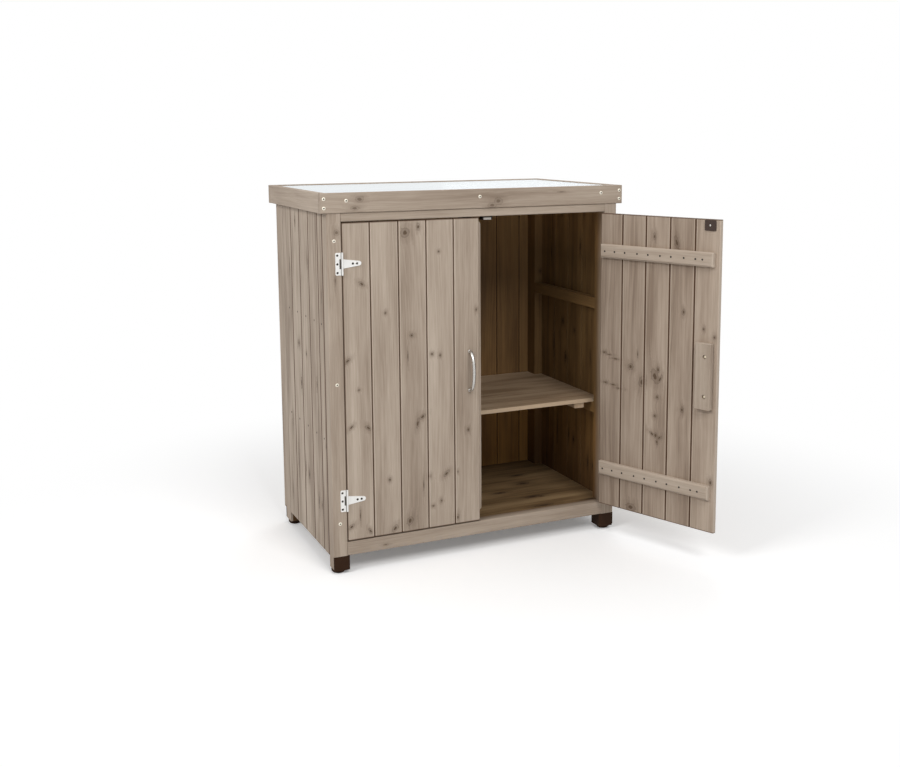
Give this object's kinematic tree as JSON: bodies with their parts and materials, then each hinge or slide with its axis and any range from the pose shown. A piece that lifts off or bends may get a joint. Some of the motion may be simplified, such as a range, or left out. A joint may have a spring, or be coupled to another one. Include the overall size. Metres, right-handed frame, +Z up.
{
  "type": "garden storage cabinet",
  "caption": "Free-standing wooden outdoor cabinet with outward-opening ledged doors, an inner shelf, plastic feet and a framed metal-covered worktop",
  "frame": {"origin": "on the floor under the middle of the front left post, at the flat underside of that post's foot", "axes": "+X to the right along the front, +Y from the doors to the rear wall, +Z up"},
  "size_m": [0.8871, 0.7842, 0.9],
  "materials": {
    "outer_wood": "stained softwood, satin",
    "inner_wood": "stained softwood, dull",
    "backing_wood": "plain board",
    "worktop_metal": "bright galvanised sheet",
    "foot_plastic": "moulded dark brown plastic",
    "hinge_zinc": "pale zinc plate",
    "handle_metal": "satin nickel",
    "striker_steel": "dark brown lacquer",
    "catch_plastic": "moulded dark plastic",
    "catch_steel": "plain steel",
    "screw_zinc": "pale zinc plate"
  },
  "bodies": {
    "carcass": {"bottom_rail": "outer_wood", "catch_housings": "catch_plastic", "catch_magnets": "catch_steel", "catch_pole_plates": "catch_steel", "floor_boards": "inner_wood", "front_left_foot": "foot_plastic", "front_left_post": "outer_wood", "front_right_foot": "foot_plastic", "front_right_post": "outer_wood", "header_rail": "outer_wood", "hinge_leaf_screws": "screw_zinc", "hinge_pins": "hinge_zinc", "hinge_post_leaves": "hinge_zinc", "left_floor_bearer": "inner_wood", "left_mid_rail": "inner_wood", "left_shelf_cleat": "inner_wood", "left_side_boards": "outer_wood", "left_top_rail": "inner_wood", "metal_worktop_sheet": "worktop_metal", "post_screws": "screw_zinc", "rear_bottom_rail": "inner_wood", "rear_left_foot": "foot_plastic", "rear_left_post": "outer_wood", "rear_right_foot": "foot_plastic", "rear_right_post": "outer_wood", "rear_top_rail": "inner_wood", "rear_wall_boards": "inner_wood", "right_floor_bearer": "inner_wood", "right_mid_rail": "inner_wood", "right_shelf_cleat": "inner_wood", "right_side_boards": "outer_wood", "right_top_rail": "inner_wood", "shelf_battens": "inner_wood", "shelf_boards": "inner_wood", "worktop_backing_panel": "backing_wood", "worktop_bearers": "inner_wood", "worktop_front_board": "outer_wood", "worktop_left_board": "outer_wood", "worktop_rear_board": "outer_wood", "worktop_right_board": "outer_wood", "worktop_screws": "screw_zinc"},
    "left_door": {"left_door_boards": "outer_wood", "left_door_cover_strip": "outer_wood", "left_door_handle": "handle_metal", "left_door_handle_block": "outer_wood", "left_door_handle_screws": "screw_zinc", "left_door_hinge_straps": "hinge_zinc", "left_door_lower_batten": "outer_wood", "left_door_strap_screws": "screw_zinc", "left_door_striker_plate": "striker_steel", "left_door_upper_batten": "outer_wood"},
    "right_door": {"right_door_boards": "outer_wood", "right_door_handle": "handle_metal", "right_door_handle_block": "outer_wood", "right_door_handle_screws": "screw_zinc", "right_door_hinge_straps": "hinge_zinc", "right_door_lower_batten": "outer_wood", "right_door_strap_screws": "screw_zinc", "right_door_striker_plate": "striker_steel", "right_door_upper_batten": "outer_wood"}
  },
  "joints": [
    {"name": "left_door_hinge", "type": "hinge", "parent": "carcass", "child": "left_door", "pos_m": [0.01775, -0.0251, 0.455], "axis": [0, 0, -1], "range_deg": [0, 175]},
    {"name": "right_door_hinge", "type": "hinge", "parent": "carcass", "child": "right_door", "pos_m": [0.71025, -0.0251, 0.455], "axis": [0, 0, 1], "range_deg": [-112, 63]}
  ]
}
